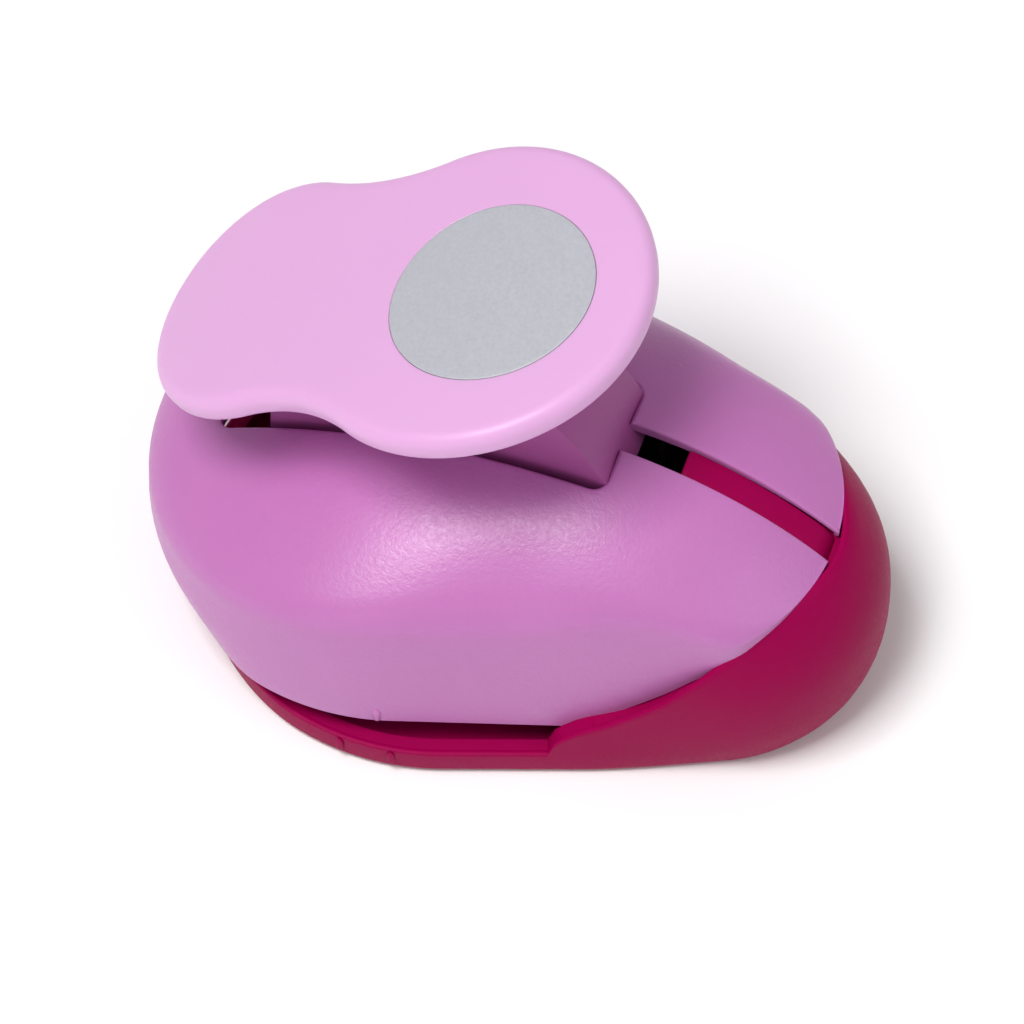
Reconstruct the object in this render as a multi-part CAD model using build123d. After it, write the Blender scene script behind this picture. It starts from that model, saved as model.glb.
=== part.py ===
"""Lever-operated corner rounder for paper and card: housing, lever and cutting set.

Frame: +X points to the narrow end of the housing, -X to the blunt end where the
sheet goes in, +Z is up. The origin is on the supporting surface. All sizes in mm.
"""
from math import acos, atan2, cos, radians, sin, sqrt
import os

from build123d import *

# ---------------------------------------------------------------- housing
BODY_LENGTH = 75.0
BODY_WIDTH = 51.6
BODY_HEIGHT = 32.3
# Plan outlines: blunt arc, straight flanks, corner arcs and a shallow tip arc
BASE_BLUNT_SETBACK = 3.6    # base stops this far short of the cover's blunt end
BASE_CORNER_Y = 6.0
BASE_CORNER_RADIUS = 9.5
BASE_TIP_RADIUS = 16.0
BASE_FOOT_CHAMFER = 0.8
SHELL_TIP_SETBACK = 5.8     # cover stops this far short of the base's tip
SHELL_SIDE_SETBACK = 0.9
SHELL_CORNER_Y = 8.5
SHELL_CORNER_RADIUS = 6.0
SHELL_TIP_RADIUS = 19.0
CROWN_X = 7.0               # highest point of the cover
CROWN_SIDE_RADIUS = 38.0    # crown across the housing, and along it towards the tip
CROWN_BLUNT_RADIUS = 64.0   # crown along the housing towards the blunt end
SHELL_WALL = 2.0
BASE_WALL = 1.8
BASE_FLOOR = 2.2
SLOT_TOP = 6.5              # lower edge of the cover along the paper slot
SLOT_END_X = 10.4           # where the paper slot ends on each side
OPENING_BLUNT_SETBACK = 8.5  # lever opening starts this far from the blunt end
OPENING_BLUNT_X = OPENING_BLUNT_SETBACK - BODY_LENGTH / 2
OPENING_TIP_X = 10.4
OPENING_WIDTH = 12.2
OPENING_RADIUS = 1.6
SLIT_WIDTH = 3.1
RIB_START_X = 16.4
RIB_END_X = BODY_LENGTH / 2 - SHELL_TIP_SETBACK + 0.2  # just past the cover's tip
RIB_RECESS = 0.6
RIB_THICKNESS = 3.0
RIB_GAP = 0.05

# ---------------------------------------------------------------- lever
PIVOT_X = -20.0
PIVOT_Z = 16.5
PIN_RADIUS = 1.5
PIN_CLEARANCE = 0.05
LEVER_SWING = 20.0          # degrees from rest to fully pressed
STEM_WIDTH = 10.8
STEM_REACH_GAP = 0.45       # stem face to the opening's front edge
STEM_POCKET_WIDTH = 7.0
HUB_RADIUS = 4.0
HUB_SIDE_GAP = 0.2
STEM_WALL = 2.0             # stem wall in front of its pocket
STEM_FOOT_RISE = 21.0       # degrees from the pivot up to the foot of the stem's front face
STEM_NOSE_WALL = 0.8        # material around the cam pin
STEM_POCKET_BACK = 5.0      # pocket starts this far past the cam pin
STEM_POCKET_TOP = 18.5      # pocket height over the pivot
PLATE_RADIUS = 95.0         # plate is rolled to this radius about a cross axis
PLATE_TILT = 19.5           # degrees at the label centre
PLATE_THICKNESS = 2.8
PLATE_EDGE_FILLET = 1.1
LABEL_X = -3.0
LABEL_Z = 50.2
LABEL_RADIUS = 10.0
LABEL_THICKNESS = 0.45
LABEL_PROUD = 0.15
WIDE_LOBE_RADIUS = 17.0
WIDE_LOBE_SHIFT = -1.6      # lobe centres along the plate, from the label centre
NARROW_LOBE_RADIUS = 13.0
NARROW_LOBE_SHIFT = -25.3
WAIST_RADIUS = 19.0

# ---------------------------------------------------------------- cutting set
CORNER_RADIUS = 10.0        # radius cut on the sheet
DIE_THICKNESS = 2.0
PAPER_GAP = 1.4             # clear height between die plate and guide frame
GUIDE_THICKNESS = 2.4
SET_HALF_WIDTH = 14.8
SET_TIP_X = 14.0
DIE_BLUNT_X = -22.0
GUIDE_BLUNT_X = -14.0
TAIL_BLUNT_X = -26.5
TAIL_HALF_WIDTH = 9.0
FENCE_BLUNT_X = -12.0
POCKET_GAP = 0.3
BLADE_HALF_WIDTH = 8.0
BLADE_BACK_X = 1.5
BLADE_REACH = 1.05          # blade goes this far past the arc's tangent points
BLADE_LIFT = 0.4            # blade edge above the slot's ceiling at rest
BLADE_CLEARANCE = 0.05
BLADE_SCREW_SETBACK = 2.4   # holder screws behind the blade's straight edge
CAM_ARM = 14.0              # pivot to cam pin
CAM_PIN_RADIUS = 2.4
CAM_GAP = 0.04
HOLDER_HEIGHT = 3.5
HOLDER_MARGIN = 0.2
WING_THICKNESS = 1.5
WING_LENGTH = 6.0
WING_HALF_SPAN = 14.0
CHEEK_THICKNESS = 2.0
CHEEK_BLUNT_X = -26.0
CHEEK_TIP_X = -12.5
SPRING_X = -2.5
SPRING_Y = 11.3
SPRING_RADIUS = 2.0
SPRING_WIRE = 0.25
SPRING_TURNS = 4.5
SPRING_POST_RADIUS = 1.2
SPRING_POST_HEIGHT = 1.9
SPRING_POST_ROOT = 1.4
SPRING_GAP = 0.05
CLIP_RADIUS = 2.8
CLIP_THICKNESS = 0.6
CHIP_HOLE_LENGTH = 13.0
CHIP_HOLE_WIDTH = 19.0
CHIP_HOLE_X = -3.2

# ---------------------------------------------------------------- screws
SCREW_RADIUS = 1.0
HEAD_RADIUS = 1.9
HEAD_HEIGHT = 1.2
HEAD_CLEARANCE = 0.15
POST_RADIUS = 2.6
CASE_SCREW_SPOTS = [(20.0, 9.0), (20.0, -9.0), (10.5, 12.5), (10.5, -12.5)]
CASE_SCREW_TOP = 15.0
CASE_SEAM = 9.0             # where base posts and cover posts meet at the tip
FRAME_SCREW_SPOTS = [(-8.5, 12.6), (-8.5, -12.6)]
BASE_SCREW_SPOTS = [(9.5, 5.5), (9.5, -5.5)]
PLATE_SCREW_SHIFTS = [-5.2, -9.2]
HOLDER_SCREW_Y = 4.6
SCREW_BITE = 4.0
DRIVE_DEPTH = 0.6
DRIVE_WIDTH = 0.5

# Seam between base and cover, seen from the side: share of length, height in mm
SEAM_POINTS = [
    (0.040, 4.0),
    (0.120, 5.1),
    (0.180, 7.6),
    (0.247, 12.0),
    (0.331, 19.0),
    (0.393, 22.4),
    (0.440, 23.4),
]
SEAM_TIP_SLOPE = 0.1

# ---------------------------------------------------------------- derived
DIE_BOTTOM = BASE_FLOOR
DIE_TOP = DIE_BOTTOM + DIE_THICKNESS
SLOT_CEILING = DIE_TOP + PAPER_GAP
GUIDE_TOP = SLOT_CEILING + GUIDE_THICKNESS
CAM_ANGLE = radians(LEVER_SWING / 2)
CAM_X = PIVOT_X + CAM_ARM * cos(CAM_ANGLE)
CAM_Z = PIVOT_Z + CAM_ARM * sin(CAM_ANGLE)
STROKE = 2 * CAM_ARM * sin(CAM_ANGLE)
HOLDER_TOP = CAM_Z - CAM_PIN_RADIUS - CAM_GAP
HOLDER_BOTTOM = HOLDER_TOP - HOLDER_HEIGHT
WING_BOTTOM = HOLDER_TOP - WING_THICKNESS
BLADE_BOTTOM = SLOT_CEILING + BLADE_LIFT
TANGENT = CORNER_RADIUS / sqrt(2)
ARC_X = -CORNER_RADIUS * sqrt(2)
BLADE_FRONT_X = -TANGENT - BLADE_REACH
HOLDER_SCREW_X = BLADE_BACK_X - BLADE_SCREW_SETBACK
HOLDER_HEAD_Z = HOLDER_TOP - 0.2
CHEEK_INNER = STEM_WIDTH / 2 + HUB_SIDE_GAP + 1.4
PLATE_AXIS_X = LABEL_X + PLATE_RADIUS * sin(radians(PLATE_TILT))
PLATE_AXIS_Z = LABEL_Z - PLATE_RADIUS * cos(radians(PLATE_TILT))
BIG = 200.0


def from_side(face, width):
    """Extrude a face drawn in the XZ plane to a total width about the centre plane."""
    return extrude(Plane.XZ * face, amount=width / 2, both=True)


def from_above(face, bottom, top):
    """Extrude a face drawn in the XY plane between two heights."""
    return extrude(Pos(0, 0, bottom) * face, amount=top - bottom)


def outline(points):
    """Closed polygon face."""
    return make_face(Polyline(*points, close=True))


def block(x0, x1, y0, y1, z0, z1):
    """Axis-aligned box between two corners."""
    return Pos((x0 + x1) / 2, (y0 + y1) / 2, (z0 + z1) / 2) * Box(x1 - x0, y1 - y0, z1 - z0)


def post(x, y, radius, bottom, top):
    """Vertical cylinder between two heights."""
    return Pos(x, y, (bottom + top) / 2) * Cylinder(radius, top - bottom)


def cross_rod(x, z, radius, length):
    """Cylinder along Y, centred on the centre plane."""
    return Pos(x, 0, z) * Rot(90, 0, 0) * Cylinder(radius, length)


def egg_face(blunt_x, tip_end_x, blunt_radius, corner_y, corner_radius, tip_radius, inset):
    """Egg outline of tangent arcs and lines, drawn in by the inset."""
    centre_x = blunt_x + blunt_radius
    corner_x = tip_end_x - tip_radius + sqrt((tip_radius - corner_radius) ** 2 - corner_y**2)
    big = blunt_radius - inset
    small = corner_radius - inset
    tip = tip_radius - inset
    across = atan2(corner_y, corner_x - centre_x)
    apart = sqrt((corner_x - centre_x) ** 2 + corner_y**2)
    lean = across + acos((big - small) / apart)
    big_touch = (centre_x + big * cos(lean), big * sin(lean))
    small_touch = (corner_x + small * cos(lean), corner_y + small * sin(lean))
    tip_x = corner_x - sqrt((tip - small) ** 2 - corner_y**2)
    turn = atan2(corner_y, corner_x - tip_x)
    tip_touch = (tip_x + tip * cos(turn), tip * sin(turn))
    middle = (lean + turn) / 2
    corner_mid = (corner_x + small * cos(middle), corner_y + small * sin(middle))
    edges = [
        ThreePointArc((big_touch[0], -big_touch[1]), (blunt_x + inset, 0), big_touch),
        Line(big_touch, small_touch),
        ThreePointArc(small_touch, corner_mid, tip_touch),
        ThreePointArc(tip_touch, (tip_x + tip, 0), (tip_touch[0], -tip_touch[1])),
        ThreePointArc(
            (tip_touch[0], -tip_touch[1]), (corner_mid[0], -corner_mid[1]), (small_touch[0], -small_touch[1])
        ),
        Line((small_touch[0], -small_touch[1]), (big_touch[0], -big_touch[1])),
    ]
    return make_face(Curve() + edges)


def base_face(inset):
    """Plan outline of the base."""
    blunt_x = BASE_BLUNT_SETBACK - BODY_LENGTH / 2
    tip_x = BODY_LENGTH / 2
    return egg_face(blunt_x, tip_x, BODY_WIDTH / 2, BASE_CORNER_Y, BASE_CORNER_RADIUS, BASE_TIP_RADIUS, inset)


def shell_face(inset):
    """Plan outline of the cover."""
    tip_x = BODY_LENGTH / 2 - SHELL_TIP_SETBACK
    half = BODY_WIDTH / 2 - SHELL_SIDE_SETBACK
    return egg_face(-BODY_LENGTH / 2, tip_x, half, SHELL_CORNER_Y, SHELL_CORNER_RADIUS, SHELL_TIP_RADIUS, inset)


def crown_solid(drop):
    """Everything under the crown surface, lowered by the drop: a ball towards the tip, a ring behind it."""
    side = CROWN_SIDE_RADIUS - drop
    ball = Pos(CROWN_X, 0, BODY_HEIGHT - CROWN_SIDE_RADIUS) * Sphere(side)
    ball &= block(CROWN_X, BIG, -BIG, BIG, 0, BIG)
    axis_z = BODY_HEIGHT - CROWN_BLUNT_RADIUS
    disc = Pos(0, BODY_HEIGHT - CROWN_SIDE_RADIUS) * Circle(side) & Pos(0, BIG / 2) * Rectangle(BIG, BIG)
    lens = Plane((CROWN_X, 0, 0), x_dir=(0, 1, 0), z_dir=(1, 0, 0)) * disc
    ring = revolve(lens, Axis((CROWN_X, 0, axis_z), (0, -1, 0)), revolution_arc=90)
    return ball + (ring & block(-BIG, CROWN_X, -BIG, BIG, 0, BIG))


def below_seam(lift):
    """Block under the seam curve, raised by the lift, across the whole housing."""
    start_x, start_z = SEAM_POINTS[0][0] * BODY_LENGTH, SEAM_POINTS[0][1] + lift
    end_x, end_z = SEAM_POINTS[-1][0] * BODY_LENGTH, SEAM_POINTS[-1][1] + lift
    seam = Spline(*[(x * BODY_LENGTH, z + lift) for x, z in SEAM_POINTS], tangents=[(1, 0), (1, SEAM_TIP_SLOPE)])
    past_tip = BODY_LENGTH
    edges = [
        Line((-BODY_LENGTH, -BIG / 10), (-BODY_LENGTH, start_z)),
        Line((-BODY_LENGTH, start_z), (start_x, start_z)),
        seam,
        Line((end_x, end_z), (past_tip, end_z + SEAM_TIP_SLOPE * (past_tip - end_x))),
        Line((past_tip, end_z + SEAM_TIP_SLOPE * (past_tip - end_x)), (past_tip, -BIG / 10)),
        Line((past_tip, -BIG / 10), (-BODY_LENGTH, -BIG / 10)),
    ]
    return from_side(make_face(Curve() + edges), BIG)


def screw(x, y, head_z, tip_z):
    """Pan-head screw along Z with a cross drive in the head's outer face."""
    up = 1 if tip_z > head_z else -1
    head = post(x, y, HEAD_RADIUS, *sorted((head_z, head_z + up * HEAD_HEIGHT)))
    shank = post(x, y, SCREW_RADIUS, *sorted((head_z + up * HEAD_HEIGHT, tip_z)))
    drive = Pos(x, y, head_z + up * DRIVE_DEPTH / 2)
    slots = drive * (Box(2 * SCREW_RADIUS, DRIVE_WIDTH, DRIVE_DEPTH) + Box(DRIVE_WIDTH, 2 * SCREW_RADIUS, DRIVE_DEPTH))
    return (head + shank) - slots


def blade_profile(grow):
    """Punch section: a rectangle whose front is hollowed to the corner radius."""
    body = Pos((BLADE_FRONT_X + BLADE_BACK_X) / 2, 0) * Rectangle(
        BLADE_BACK_X - BLADE_FRONT_X + 2 * grow, 2 * (BLADE_HALF_WIDTH + grow)
    )
    return body - Pos(ARC_X, 0) * Circle(CORNER_RADIUS - grow)


# ---------------------------------------------------------------- housing
def make_base_shell():
    """Moulded base: table at the blunt end, rising wall round the tip."""
    body = from_above(base_face(0), 0, BODY_HEIGHT)
    body = chamfer(body.faces().sort_by(Axis.Z)[0].edges(), BASE_FOOT_CHAMFER) & below_seam(0)
    inner_start = SET_TIP_X + POCKET_GAP + BASE_WALL
    hollow = from_above(base_face(BASE_WALL), 0, BODY_HEIGHT) & block(inner_start, BIG, -BIG, BIG, BASE_FLOOR, BIG)
    body -= hollow
    body -= block(
        DIE_BLUNT_X - POCKET_GAP,
        SET_TIP_X + POCKET_GAP,
        -SET_HALF_WIDTH - POCKET_GAP,
        SET_HALF_WIDTH + POCKET_GAP,
        DIE_BOTTOM,
        BIG,
    )
    chip_hole = RectangleRounded(CHIP_HOLE_LENGTH, CHIP_HOLE_WIDTH, OPENING_RADIUS)
    body -= from_above(Pos(CHIP_HOLE_X, 0) * chip_hole, -1, BASE_FLOOR + 1)
    for x, y in CASE_SCREW_SPOTS[:2]:
        body += post(x, y, POST_RADIUS, BASE_FLOOR / 2, CASE_SEAM)
    for x, y in CASE_SCREW_SPOTS + BASE_SCREW_SPOTS:
        body -= post(x, y, SCREW_RADIUS, -1, CASE_SEAM + 1)
        body -= post(x, y, HEAD_RADIUS + HEAD_CLEARANCE, -1, HEAD_HEIGHT)
    return body


def stem_face_radius():
    """Radius of the stem's front face about the pivot, just inside the opening's front edge."""
    crown_z = BODY_HEIGHT
    return sqrt((OPENING_TIP_X - STEM_REACH_GAP - PIVOT_X) ** 2 + (crown_z - PIVOT_Z) ** 2)


def opening_prism():
    """Lever opening and slit of the cover, as one vertical prism."""
    length = OPENING_TIP_X - OPENING_BLUNT_X
    centre = (OPENING_TIP_X + OPENING_BLUNT_X) / 2
    window = Pos(centre, 0) * RectangleRounded(length, OPENING_WIDTH, OPENING_RADIUS)
    slit_end = BODY_LENGTH
    slit = Pos((OPENING_TIP_X - 1 + slit_end) / 2, 0) * Rectangle(slit_end - OPENING_TIP_X + 1, SLIT_WIDTH)
    return from_above(window, PIVOT_Z - 2, BIG) + from_above(slit, CASE_SEAM, BIG)


def make_upper_shell():
    """Moulded cover: drafted skirt under a crowned top, with opening, slit and screw posts."""
    outer = from_above(shell_face(0), 0, BODY_HEIGHT + 1) & crown_solid(0)
    above = block(-BIG, BIG, -BIG, BIG, SLOT_TOP, BIG) + block(SLOT_END_X, BIG, -BIG, BIG, 0, BIG)
    outer = (outer & above) - below_seam(0)
    inner = from_above(shell_face(SHELL_WALL), 0, BODY_HEIGHT) & crown_solid(SHELL_WALL)
    body = outer - inner
    posts = Part()
    for index, (x, y) in enumerate(CASE_SCREW_SPOTS):
        foot = CASE_SEAM if index < 2 else GUIDE_TOP
        posts += post(x, y, POST_RADIUS, foot, BODY_HEIGHT)
    body += posts & crown_solid(SHELL_WALL / 2)
    for index, (x, y) in enumerate(CASE_SCREW_SPOTS):
        body -= post(x, y, SCREW_RADIUS, 0, CASE_SCREW_TOP)
    swing = cross_rod(PIVOT_X, PIVOT_Z, stem_face_radius() + STEM_REACH_GAP, OPENING_WIDTH)
    body -= swing & block(0, BIG, -BIG, BIG, PIVOT_Z, BIG)
    return body - opening_prism()


def make_slot_rib():
    """Strip that fills the slit, with a web down to the floor of the base."""
    strip = crown_solid(RIB_RECESS) - crown_solid(RIB_RECESS + RIB_THICKNESS)
    width = SLIT_WIDTH - 2 * RIB_GAP
    strip &= block(RIB_START_X, RIB_END_X, -width / 2, width / 2, CASE_SEAM, BIG)
    web = crown_solid(RIB_RECESS + RIB_THICKNESS / 2)
    web &= block(RIB_END_X - 7, RIB_END_X - 1, -width / 2, width / 2, BASE_FLOOR, BIG)
    return strip + web


# ---------------------------------------------------------------- cutting set
def make_die_plate():
    """Steel plate in the base's pocket, with the die hole."""
    plate = block(DIE_BLUNT_X, SET_TIP_X, -SET_HALF_WIDTH, SET_HALF_WIDTH, DIE_BOTTOM, DIE_TOP)
    plate -= from_above(blade_profile(BLADE_CLEARANCE), 0, DIE_TOP + 1)
    for x, y in FRAME_SCREW_SPOTS + BASE_SCREW_SPOTS + CASE_SCREW_SPOTS[2:]:
        plate -= post(x, y, SCREW_RADIUS, 0, DIE_TOP + 1)
    return plate


def make_corner_fence():
    """V-notched spacer: its two edges stop the sheet's sides at 45 degrees."""
    reach = -FENCE_BLUNT_X
    face = outline(
        [
            (0, 0),
            (-reach, reach),
            (-reach, SET_HALF_WIDTH),
            (SET_TIP_X, SET_HALF_WIDTH),
            (SET_TIP_X, -SET_HALF_WIDTH),
            (-reach, -SET_HALF_WIDTH),
            (-reach, -reach),
        ]
    )
    fence = from_above(face, DIE_TOP, SLOT_CEILING)
    fence -= from_above(blade_profile(BLADE_CLEARANCE), 0, GUIDE_TOP)
    for x, y in FRAME_SCREW_SPOTS + BASE_SCREW_SPOTS + CASE_SCREW_SPOTS[2:]:
        fence -= post(x, y, SCREW_RADIUS, 0, GUIDE_TOP)
    return fence


def make_guide_frame():
    """Cast frame: guide plate over the slot and two cheeks for the pivot."""
    plate = block(GUIDE_BLUNT_X, SET_TIP_X, -SET_HALF_WIDTH, SET_HALF_WIDTH, SLOT_CEILING, GUIDE_TOP)
    plate += block(TAIL_BLUNT_X, GUIDE_BLUNT_X, -TAIL_HALF_WIDTH, TAIL_HALF_WIDTH, SLOT_CEILING, GUIDE_TOP)
    cheek = outline(
        [
            (CHEEK_BLUNT_X, GUIDE_TOP),
            (CHEEK_TIP_X, GUIDE_TOP),
            (PIVOT_X + HUB_RADIUS, PIVOT_Z),
            (PIVOT_X - HUB_RADIUS, PIVOT_Z),
        ]
    )
    cheek += Pos(PIVOT_X, PIVOT_Z) * Circle(HUB_RADIUS)
    outer = CHEEK_INNER + CHEEK_THICKNESS
    pair = from_side(cheek, 2 * outer) - block(-BIG, BIG, -CHEEK_INNER, CHEEK_INNER, GUIDE_TOP, BIG)
    frame = plate + pair
    frame -= cross_rod(PIVOT_X, PIVOT_Z, PIN_RADIUS, BIG)
    frame -= from_above(blade_profile(BLADE_CLEARANCE), 0, GUIDE_TOP + 1)
    for x, y in FRAME_SCREW_SPOTS + BASE_SCREW_SPOTS + CASE_SCREW_SPOTS[2:]:
        frame -= post(x, y, SCREW_RADIUS, 0, GUIDE_TOP + 1)
    for side in (-1, 1):
        frame -= post(SPRING_X, side * SPRING_Y, SPRING_POST_RADIUS, GUIDE_TOP - SPRING_POST_ROOT, GUIDE_TOP + 1)
    return frame


def make_spring_post(side):
    """Peg pressed into the guide frame inside a return spring."""
    top = GUIDE_TOP + SPRING_POST_HEIGHT
    return post(SPRING_X, side * SPRING_Y, SPRING_POST_RADIUS, GUIDE_TOP - SPRING_POST_ROOT, top)


def make_return_spring(side):
    """Compression spring between the guide frame and a wing of the holder."""
    bottom = GUIDE_TOP + SPRING_WIRE + SPRING_GAP
    height = WING_BOTTOM - SPRING_WIRE - SPRING_GAP - bottom
    path = Pos(SPRING_X, side * SPRING_Y, bottom) * Helix(height / SPRING_TURNS, height, SPRING_RADIUS)
    section = Plane(path @ 0, z_dir=path % 0) * Circle(SPRING_WIRE)
    return sweep(section, path=path, is_frenet=True)


# ---------------------------------------------------------------- punch
def make_punch_blade():
    """Steel punch, guided in the frame and carried by the holder."""
    blade = from_above(blade_profile(0), BLADE_BOTTOM, HOLDER_BOTTOM)
    for side in (-1, 1):
        tip_z = HOLDER_BOTTOM - SCREW_BITE
        blade -= post(HOLDER_SCREW_X, side * HOLDER_SCREW_Y, SCREW_RADIUS, tip_z, HOLDER_BOTTOM)
    return blade


def make_punch_holder():
    """Block on top of the punch with a wing over each return spring."""
    back = BLADE_BACK_X + HOLDER_MARGIN
    front = BLADE_FRONT_X - HOLDER_MARGIN
    half = BLADE_HALF_WIDTH + HOLDER_MARGIN
    body = block(front, back, -half, half, HOLDER_BOTTOM, HOLDER_TOP)
    wing = Pos(SPRING_X, 0) * RectangleRounded(WING_LENGTH, 2 * WING_HALF_SPAN, WING_LENGTH / 3)
    body += from_above(wing, WING_BOTTOM, HOLDER_TOP)
    for side in (-1, 1):
        y = side * HOLDER_SCREW_Y
        body -= post(HOLDER_SCREW_X, y, SCREW_RADIUS, 0, BIG)
        body -= post(HOLDER_SCREW_X, y, HEAD_RADIUS + HEAD_CLEARANCE, HOLDER_HEAD_Z - HEAD_HEIGHT, BIG)
    return body


def make_holder_screws():
    """Two screws down through the holder into the punch, heads below its top face."""
    tip_z = HOLDER_BOTTOM - SCREW_BITE
    return [screw(HOLDER_SCREW_X, side * HOLDER_SCREW_Y, HOLDER_HEAD_Z, tip_z) for side in (-1, 1)]


# ---------------------------------------------------------------- lever
def plate_band(outer_growth, inner_drop):
    """Cylindrical band about the plate's rolling axis, limited to the plate's side."""
    band = cross_rod(PLATE_AXIS_X, PLATE_AXIS_Z, PLATE_RADIUS + outer_growth, BODY_WIDTH)
    band -= cross_rod(PLATE_AXIS_X, PLATE_AXIS_Z, PLATE_RADIUS - inner_drop, BODY_WIDTH + 2)
    return band & block(-BIG, BIG, -BIG, BIG, PIVOT_Z, BIG)


def tangent_plane(shift):
    """Plane tangent to the plate, at a distance along it from the label's centre."""
    angle = shift / PLATE_RADIUS - radians(PLATE_TILT)
    origin = (PLATE_AXIS_X + PLATE_RADIUS * sin(angle), 0, PLATE_AXIS_Z + PLATE_RADIUS * cos(angle))
    return Plane(origin, x_dir=(cos(angle), 0, -sin(angle)), z_dir=(sin(angle), 0, cos(angle)))


def hourglass(middle):
    """Plate outline: a wide and a narrow round lobe joined by hollow waists."""
    wide = WIDE_LOBE_SHIFT - middle
    narrow = NARROW_LOBE_SHIFT - middle
    spacing = wide - narrow
    to_wide = WIDE_LOBE_RADIUS + WAIST_RADIUS
    to_narrow = NARROW_LOBE_RADIUS + WAIST_RADIUS
    along = (spacing**2 + to_narrow**2 - to_wide**2) / (2 * spacing)
    across = sqrt(to_narrow**2 - along**2)
    waist_x = narrow + along
    wide_touch = (wide + (waist_x - wide) * WIDE_LOBE_RADIUS / to_wide, across * WIDE_LOBE_RADIUS / to_wide)
    narrow_touch = (
        narrow + (waist_x - narrow) * NARROW_LOBE_RADIUS / to_narrow,
        across * NARROW_LOBE_RADIUS / to_narrow,
    )
    waist_mid = (waist_x, across - WAIST_RADIUS)
    edges = [
        ThreePointArc(
            (narrow_touch[0], -narrow_touch[1]), (narrow - NARROW_LOBE_RADIUS, 0), narrow_touch
        ),
        ThreePointArc(narrow_touch, waist_mid, wide_touch),
        ThreePointArc(wide_touch, (wide + WIDE_LOBE_RADIUS, 0), (wide_touch[0], -wide_touch[1])),
        ThreePointArc(
            (wide_touch[0], -wide_touch[1]), (waist_mid[0], -waist_mid[1]), (narrow_touch[0], -narrow_touch[1])
        ),
    ]
    return make_face(Curve() + edges)


def label_prism():
    """Round prism square to the plate at the label's centre."""
    return extrude(tangent_plane(0) * Circle(LABEL_RADIUS), amount=LABEL_RADIUS, both=True)


def make_lever_plate():
    """Press plate: rolled hourglass with a rounded upper rim and a label recess."""
    middle = (WIDE_LOBE_SHIFT + WIDE_LOBE_RADIUS + NARROW_LOBE_SHIFT - NARROW_LOBE_RADIUS) / 2
    prism = extrude(tangent_plane(middle) * hourglass(middle), amount=LABEL_RADIUS, both=True)
    plate = prism & plate_band(0, PLATE_THICKNESS)
    rim = plate.edges().filter_by(lambda edge: edge.length > PLATE_THICKNESS * 2)
    plate = fillet(rim, PLATE_EDGE_FILLET)
    plate -= label_prism() & plate_band(2, LABEL_THICKNESS - LABEL_PROUD)
    for shift in PLATE_SCREW_SHIFTS:
        hole = tangent_plane(shift)
        plate -= extrude(hole * Circle(SCREW_RADIUS), amount=PLATE_THICKNESS * 2, both=True)
        plate -= extrude(hole * Circle(HEAD_RADIUS + HEAD_CLEARANCE), amount=HEAD_HEIGHT + 0.5, both=True)
    return plate


def make_label_disc():
    """Thin round label in the plate's recess."""
    return label_prism() & plate_band(LABEL_PROUD, LABEL_THICKNESS - LABEL_PROUD)


def make_plate_screws():
    """Two screws under the label, square to the plate, into the stem."""
    screws = []
    for shift in PLATE_SCREW_SHIFTS:
        spot = Location(tangent_plane(shift))
        screws.append(spot * screw(0, 0, -0.5, -PLATE_THICKNESS - SCREW_BITE))
    return screws


def make_lever_stem():
    """Lever body: hub on the pivot, nose over the punch, hollow stem up to the plate."""
    reach = stem_face_radius()
    rise = radians(STEM_FOOT_RISE)
    foot = (PIVOT_X + reach * cos(rise), PIVOT_Z + reach * sin(rise))
    side = outline(
        [
            (PIVOT_X - HUB_RADIUS, PIVOT_Z),
            (PIVOT_X, PIVOT_Z - HUB_RADIUS),
            (CAM_X - 4.0, CAM_Z - 1.6),
            (CAM_X + 2.8, CAM_Z - 0.8),
            (foot[0] + 2, foot[1] + 1.4),
            (foot[0] + 2, PIVOT_Z + BIG / 4),
            (PIVOT_X - 1.5, PIVOT_Z + BIG / 4),
        ]
    )
    nose = Pos(CAM_X, CAM_Z) * Circle(CAM_PIN_RADIUS + STEM_NOSE_WALL)
    side = (side + Pos(PIVOT_X, PIVOT_Z) * Circle(HUB_RADIUS)) + nose
    side &= Pos(PIVOT_X, PIVOT_Z) * Circle(reach)
    side -= Pos(CAM_X, CAM_Z - 1.1 - 5) * Rectangle(2 * (CAM_PIN_RADIUS + STEM_NOSE_WALL), 10)
    body = from_side(side, STEM_WIDTH)
    body &= cross_rod(PLATE_AXIS_X, PLATE_AXIS_Z, PLATE_RADIUS - PLATE_THICKNESS, BIG)
    pocket_back = CAM_X + STEM_POCKET_BACK
    pocket_top = PIVOT_Z + STEM_POCKET_TOP
    pocket = outline(
        [
            (pocket_back, CAM_Z - 4),
            (foot[0] + 1, foot[1] - 4),
            (foot[0] + 1, pocket_top),
            (pocket_back, pocket_top),
        ]
    )
    pocket &= Pos(PIVOT_X, PIVOT_Z) * Circle(reach - STEM_WALL)
    body -= from_side(pocket, STEM_POCKET_WIDTH)
    hub_width = 2 * (CHEEK_INNER - HUB_SIDE_GAP)
    body += cross_rod(PIVOT_X, PIVOT_Z, HUB_RADIUS, hub_width)
    body -= cross_rod(PIVOT_X, PIVOT_Z, PIN_RADIUS + PIN_CLEARANCE, BIG)
    body -= cross_rod(CAM_X, CAM_Z, CAM_PIN_RADIUS, BIG)
    for shift in PLATE_SCREW_SHIFTS:
        depth = PLATE_THICKNESS + SCREW_BITE
        body -= extrude(tangent_plane(shift) * Circle(SCREW_RADIUS), amount=-depth)
    return body


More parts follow.
